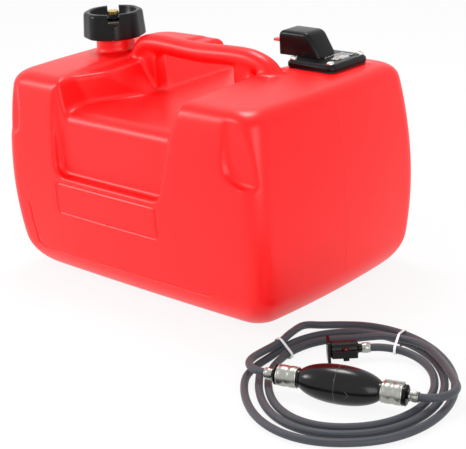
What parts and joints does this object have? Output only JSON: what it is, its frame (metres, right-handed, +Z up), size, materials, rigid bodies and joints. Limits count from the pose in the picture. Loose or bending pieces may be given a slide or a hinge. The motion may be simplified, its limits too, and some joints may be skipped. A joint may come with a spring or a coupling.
{
  "type": "outboard fuel tank",
  "caption": "Portable red fuel tank with a saddle under a moulded handle, screw cap with vent screw, outlet fitting with gauge, and a coiled hose with primer bulb.",
  "frame": {"origin": "middle of the tank's footprint on the surface that it stands on, the loose hose kit left out", "axes": "+X along the tank's length towards the outlet fitting, -Y out of the front where the hose kit lies, +Z up"},
  "size_m": [0.6511, 0.4254, 0.3004],
  "materials": {
    "red_polyethylene": "satin",
    "black_plastic": "satin",
    "black_rubber": "matt",
    "red_rubber": "satin",
    "hose_rubber": "satin",
    "bulb_rubber": "gloss",
    "brass": "turned",
    "steel": "zinc plated",
    "white_plastic": "satin",
    "orange_plastic": "satin",
    "clear_plastic": "clear",
    "float_foam": "matt"
  },
  "bodies": {
    "tank": {"tank_shell": "red_polyethylene", "outlet_flange": "black_plastic", "outlet_gasket": "black_rubber", "outlet_hood": "black_plastic", "outlet_spigot": "black_plastic", "outlet_screw_1": "steel", "outlet_screw_2": "steel", "outlet_screw_3": "steel", "outlet_screw_4": "steel", "gauge_dial": "white_plastic", "gauge_lens": "clear_plastic", "sender_bracket": "steel", "sender_pivot": "steel", "pickup_tube": "black_plastic", "pickup_strainer": "white_plastic", "hose_left": "hose_rubber", "hose_right": "hose_rubber", "primer_bulb": "bulb_rubber", "bulb_valve_left": "black_plastic", "bulb_valve_right": "black_plastic", "wide_clamp_left": "steel", "wide_clamp_right": "steel", "narrow_clamp_left": "steel", "narrow_clamp_right": "steel", "connector_body": "black_plastic", "connector_latch_pin": "steel", "connector_clamp": "steel", "tie_left": "white_plastic", "tie_right": "white_plastic"},
    "cap_thread": {"cap_gasket": "black_rubber"},
    "cap": {"filler_cap": "black_plastic"},
    "vent_thread": {"vent_screw_seal": "black_rubber"},
    "vent": {"vent_screw": "brass"},
    "dust_plug": {"dust_plug": "red_rubber"},
    "float": {"float_arm": "steel", "float": "float_foam"},
    "needle": {"gauge_needle": "orange_plastic"},
    "latch": {"connector_latch": "black_plastic"}
  },
  "joints": [
    {"name": "cap_lift", "type": "slide", "parent": "tank", "child": "cap_thread", "axis": [0, 0, 1], "range_m": [0, 0.0101]},
    {"name": "cap_turn", "type": "hinge", "parent": "cap_thread", "child": "cap", "pos_m": [-0.143, 0, 0.285], "axis": [0, 0, 1], "range_deg": [0, 720]},
    {"name": "vent_lift", "type": "slide", "parent": "cap", "child": "vent_thread", "axis": [0, 0, 1], "range_m": [0, 0.002]},
    {"name": "vent_turn", "type": "hinge", "parent": "vent_thread", "child": "vent", "pos_m": [-0.143, 0, 0.295], "axis": [0, 0, 1], "range_deg": [0, 726]},
    {"name": "plug_pull", "type": "slide", "parent": "tank", "child": "dust_plug", "axis": [-1, 0, 0], "range_m": [0, 0.045]},
    {"name": "float_swing", "type": "hinge", "parent": "tank", "child": "float", "pos_m": [0.1415, 0.074, 0.13], "axis": [1, 0, 0], "range_deg": [-65, 65]},
    {"name": "needle_swing", "type": "hinge", "parent": "tank", "child": "needle", "pos_m": [0.1415, 0.074, 0.2567], "axis": [0, 0, 1], "range_deg": [-46, 46]},
    {"name": "latch_press", "type": "hinge", "parent": "tank", "child": "latch", "pos_m": [0.29928, -0.12582, 0.012], "axis": [0, 0, 1], "range_deg": [0, 9], "stiffness_Nm_per_rad": 0.05, "springref_deg": -5.73}
  ],
  "couplings": [
    {"joint": "cap_lift", "follows": "cap_turn", "m_per_rad": 0.00079577},
    {"joint": "vent_turn", "follows": "vent_lift", "rad_per_m": 6283.2},
    {"joint": "needle_swing", "follows": "float_swing", "ratio": -0.7}
  ]
}
